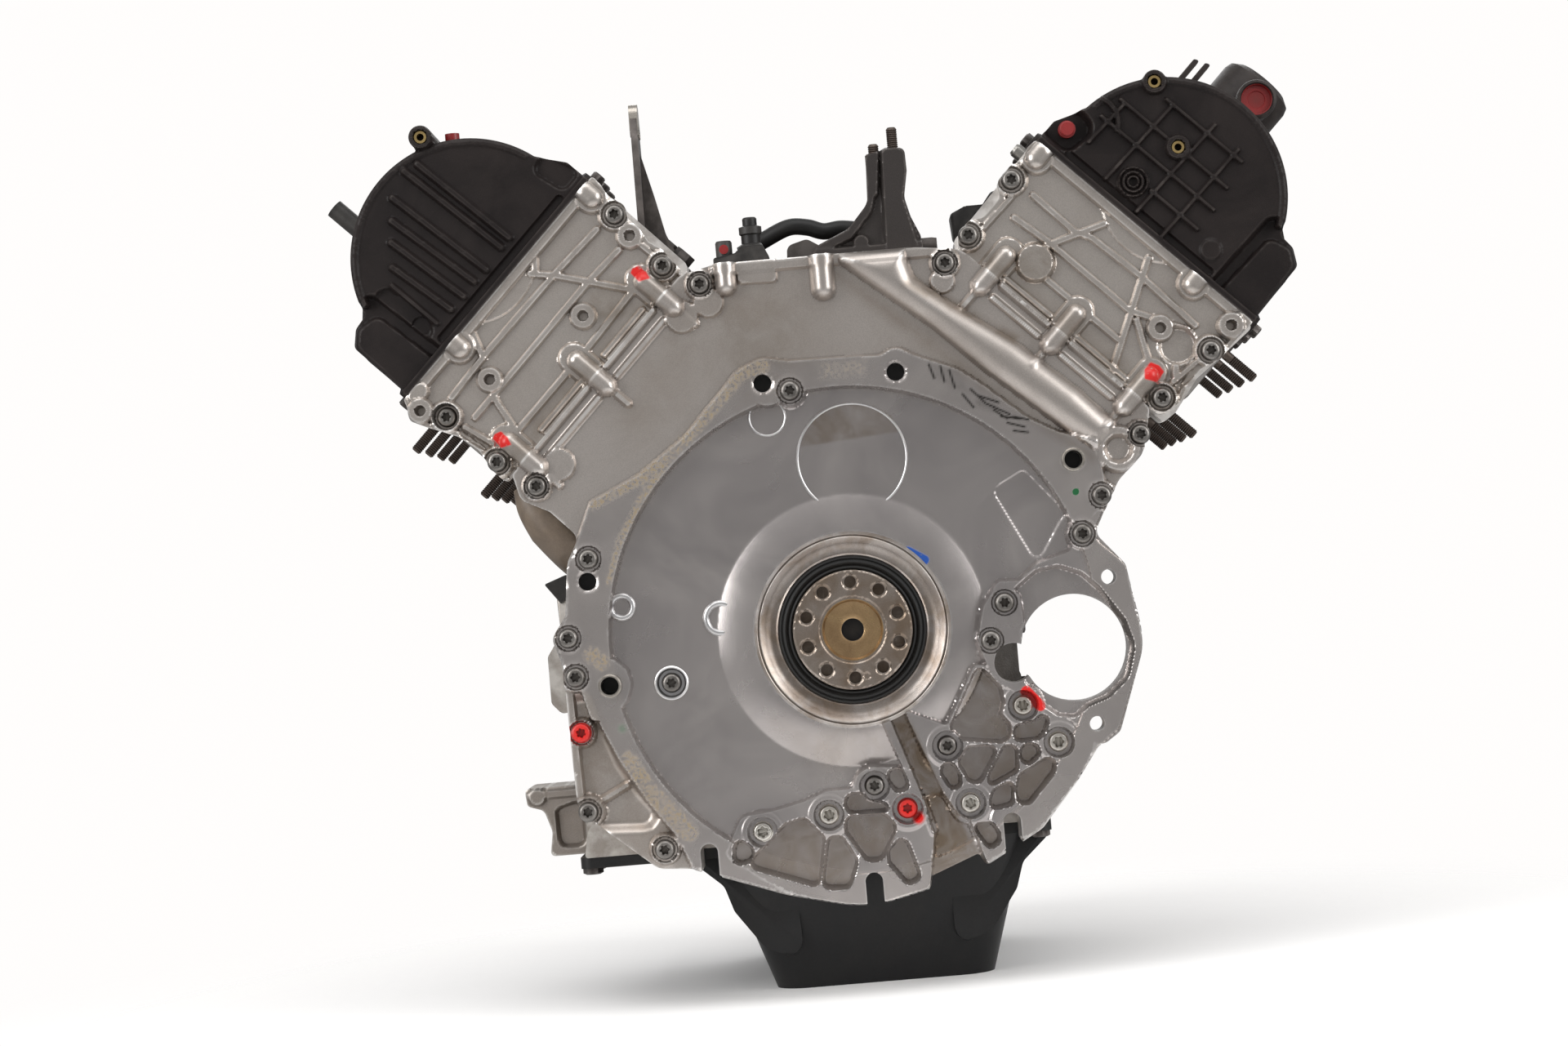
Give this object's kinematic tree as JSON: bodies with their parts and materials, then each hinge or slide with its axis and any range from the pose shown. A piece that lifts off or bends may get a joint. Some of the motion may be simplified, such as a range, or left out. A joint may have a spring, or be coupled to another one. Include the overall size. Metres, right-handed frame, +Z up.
{
  "type": "engine",
  "caption": "V6 diesel long block with bell-housing plate, ribbed timing covers, moulded cam covers and turning crank, chain wheels and camshafts.",
  "frame": {"origin": "centre of the flywheel bolt circle on the crank flange's face, which lies in the bell-housing face", "axes": "+Y along the crankshaft from the flywheel end to the front, +Z up, +X to the right as seen from the flywheel end"},
  "size_m": [0.7015, 0.448, 0.658],
  "materials": {
    "cast_plate": "satin casting with brownish stains and machined rims",
    "cast_upper_cover": "satin casting",
    "cast_head": "satin casting",
    "cast_iron_block": "rough dark casting",
    "cast_pan": "satin casting, stained",
    "black_pan": "black paint, satin",
    "cover_plastic": "dark brown-black moulding with a soft sheen",
    "black_plastic": "black moulding",
    "forged_steel": "ground steel with a brownish oil film",
    "sprocket_steel": "oiled steel",
    "chain_steel": "dark oiled steel",
    "valve_steel": "ground steel",
    "bearing_bronze": "plain bearing metal",
    "seal_rubber": "black rubber",
    "guide_nylon": "dark nylon",
    "tensioner_steel": "ground steel",
    "piston_aluminium": "turned aluminium",
    "gasket_steel": "coated sheet steel",
    "dark_screw_steel": "dark grey coated steel",
    "bright_screw_steel": "zinc-coated steel",
    "dark_stud_steel": "brown-black oxidised steel",
    "grey_bolt_steel": "dull coated steel",
    "bracket_casting": "satin casting",
    "cooler_aluminium": "dark stained sheet",
    "plug_red": "red moulding",
    "insert_brass": "machined brass",
    "dowel_steel": "ground steel sleeve",
    "pipe_steel": "drawn steel tube",
    "damper_iron": "black damper"
  },
  "bodies": {
    "block": {"lower_timing_cover": "cast_plate", "right_upper_timing_cover": "cast_upper_cover", "left_upper_timing_cover": "cast_upper_cover", "right_cylinder_head": "cast_head", "left_cylinder_head": "cast_head", "cam_frames": "cast_head", "oil_pump_housing": "cast_head", "front_cover": "cast_head", "coolant_elbow": "cast_head", "cylinder_block": "cast_iron_block", "main_bearing_frame": "cast_iron_block", "upper_oil_pan": "cast_pan", "oil_filter_module": "cast_pan", "mount_bracket": "cast_pan", "lower_oil_pan": "black_pan", "right_cam_cover": "cover_plastic", "left_cam_cover": "cover_plastic", "oil_filler_neck": "cover_plastic", "sensor_plate": "black_plastic", "coolant_sensor": "black_plastic", "breather_stub": "black_plastic", "connecting_rods": "forged_steel", "valve_fingers": "forged_steel", "idler_pins": "forged_steel", "piston_pins": "forged_steel", "primary_chain": "chain_steel", "cam_chains": "chain_steel", "oil_pump_chain": "chain_steel", "valves": "valve_steel", "main_bearing_shells": "bearing_bronze", "crank_rear_seal": "seal_rubber", "chain_guides": "guide_nylon", "chain_tensioner": "tensioner_steel", "pistons": "piston_aluminium", "head_gaskets": "gasket_steel", "dark_cover_screws": "dark_screw_steel", "head_bolts": "dark_screw_steel", "bright_cover_screws": "bright_screw_steel", "exhaust_studs": "dark_stud_steel", "bracket_studs": "dark_stud_steel", "valley_bolts": "grey_bolt_steel", "lifting_plate": "grey_bolt_steel", "stud_bracket": "bracket_casting", "valley_oil_cooler": "cooler_aluminium", "sealing_plugs": "plug_red", "cover_inserts": "insert_brass", "housing_dowels": "dowel_steel", "oil_pickup_pipe": "pipe_steel"},
    "crank": {"crankshaft": "forged_steel", "crank_sprockets": "sprocket_steel", "damper_pulley": "damper_iron"},
    "right_idler": {"right_idler_sprocket": "sprocket_steel"},
    "left_idler": {"left_idler_sprocket": "sprocket_steel"},
    "oil_pump": {"oil_pump_sprocket": "sprocket_steel"},
    "right_inner_cam": {"right_inner_camshaft": "forged_steel", "right_cam_sprocket": "sprocket_steel"},
    "left_inner_cam": {"left_inner_camshaft": "forged_steel", "left_cam_sprocket": "sprocket_steel"},
    "right_outer_cam": {"right_outer_camshaft": "forged_steel"},
    "left_outer_cam": {"left_outer_camshaft": "forged_steel"}
  },
  "joints": [
    {"name": "crank_turn", "type": "hinge", "parent": "block", "child": "crank", "pos_m": [0, 0, 0], "axis": [0, 1, 0], "continuous": true, "deforming": ["pistons", "piston_pins", "connecting_rods", "valves", "valve_fingers", "primary_chain", "cam_chains", "oil_pump_chain"]},
    {"name": "right_idler_turn", "type": "hinge", "parent": "block", "child": "right_idler", "pos_m": [0.0799, 0, 0.11809], "axis": [0, 1, 0], "continuous": true},
    {"name": "left_idler_turn", "type": "hinge", "parent": "block", "child": "left_idler", "pos_m": [-0.0799, 0, 0.11809], "axis": [0, 1, 0], "continuous": true},
    {"name": "oil_pump_turn", "type": "hinge", "parent": "block", "child": "oil_pump", "pos_m": [-0.06, 0, -0.088], "axis": [0, 1, 0], "continuous": true},
    {"name": "right_inner_cam_turn", "type": "hinge", "parent": "block", "child": "right_inner_cam", "pos_m": [0.24961, 0, 0.28779], "axis": [0, 1, 0], "continuous": true},
    {"name": "left_inner_cam_turn", "type": "hinge", "parent": "block", "child": "left_inner_cam", "pos_m": [-0.24961, 0, 0.28779], "axis": [0, 1, 0], "continuous": true},
    {"name": "right_outer_cam_turn", "type": "hinge", "parent": "block", "child": "right_outer_cam", "pos_m": [0.28779, 0, 0.24961], "axis": [0, 1, 0], "continuous": true},
    {"name": "left_outer_cam_turn", "type": "hinge", "parent": "block", "child": "left_outer_cam", "pos_m": [-0.28779, 0, 0.24961], "axis": [0, 1, 0], "continuous": true}
  ],
  "couplings": [
    {"joint": "right_idler_turn", "follows": "crank_turn", "ratio": 0.66667},
    {"joint": "left_idler_turn", "follows": "crank_turn", "ratio": 0.66667},
    {"joint": "oil_pump_turn", "follows": "crank_turn", "ratio": 0.83333},
    {"joint": "right_inner_cam_turn", "follows": "crank_turn", "ratio": 0.5},
    {"joint": "left_inner_cam_turn", "follows": "crank_turn", "ratio": 0.5},
    {"joint": "right_outer_cam_turn", "follows": "crank_turn", "ratio": -0.5},
    {"joint": "left_outer_cam_turn", "follows": "crank_turn", "ratio": -0.5}
  ]
}
